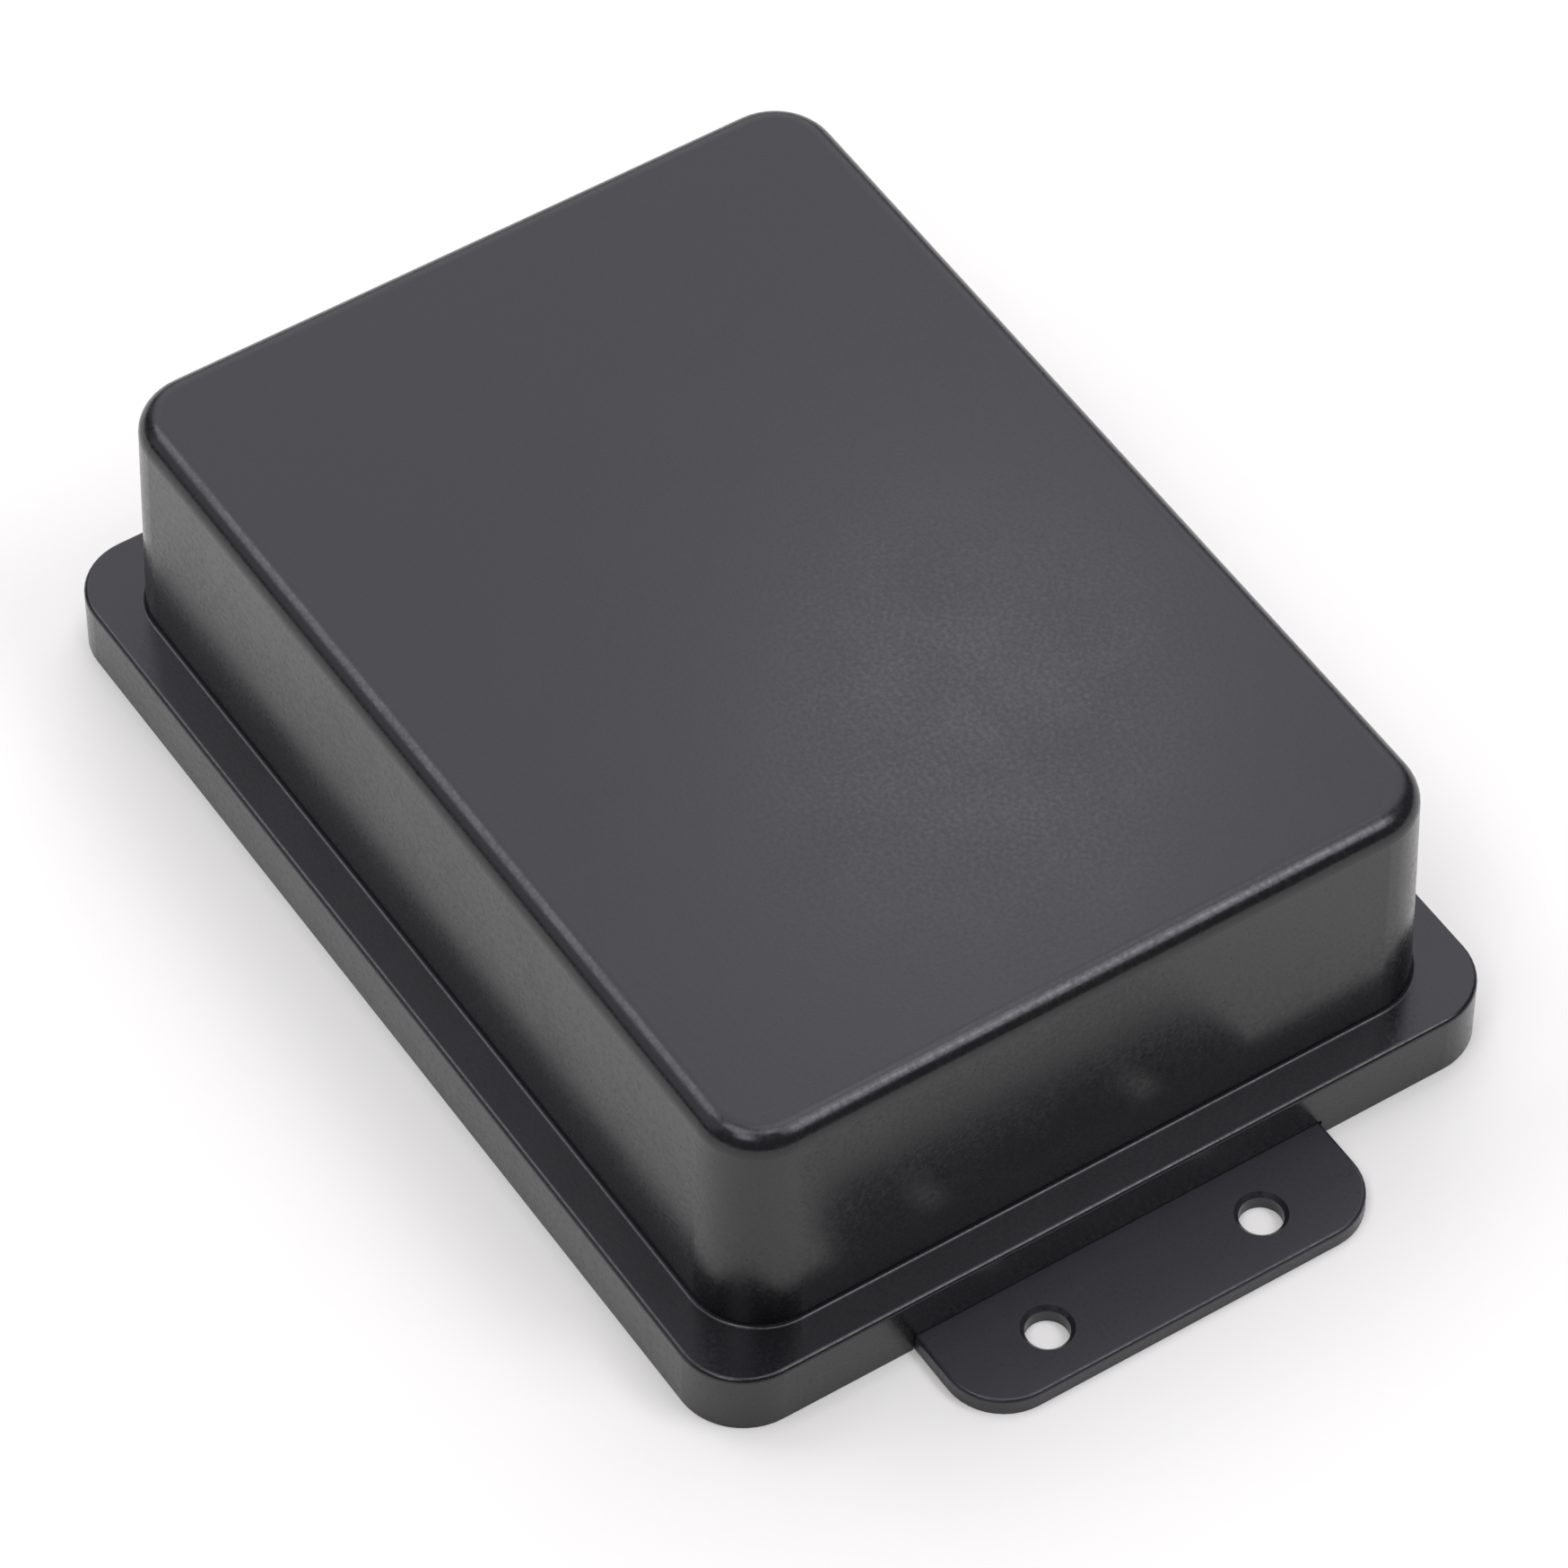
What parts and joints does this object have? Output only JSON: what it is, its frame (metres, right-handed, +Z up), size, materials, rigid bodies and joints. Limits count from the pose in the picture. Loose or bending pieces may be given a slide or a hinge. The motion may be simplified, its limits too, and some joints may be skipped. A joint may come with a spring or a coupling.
{
  "type": "plastic project box",
  "caption": "Rectangular moulded plastic project box: a drafted cover with a ledge and skirt, screwed from beneath to a base plate with drilled end tabs.",
  "frame": {"origin": "middle of the underside, where the box stands on a surface", "axes": "+X along the length towards one mounting tab, +Y across the width, +Z up from the base plate to the roof of the cover"},
  "size_m": [0.149, 0.0914, 0.035],
  "materials": {
    "abs": "satin moulded, fine even grain",
    "screw_steel": "zinc plated"
  },
  "bodies": {
    "root": {"cover": "abs", "base_plate": "abs", "cover_screws": "screw_steel"}
  },
  "joints": []
}
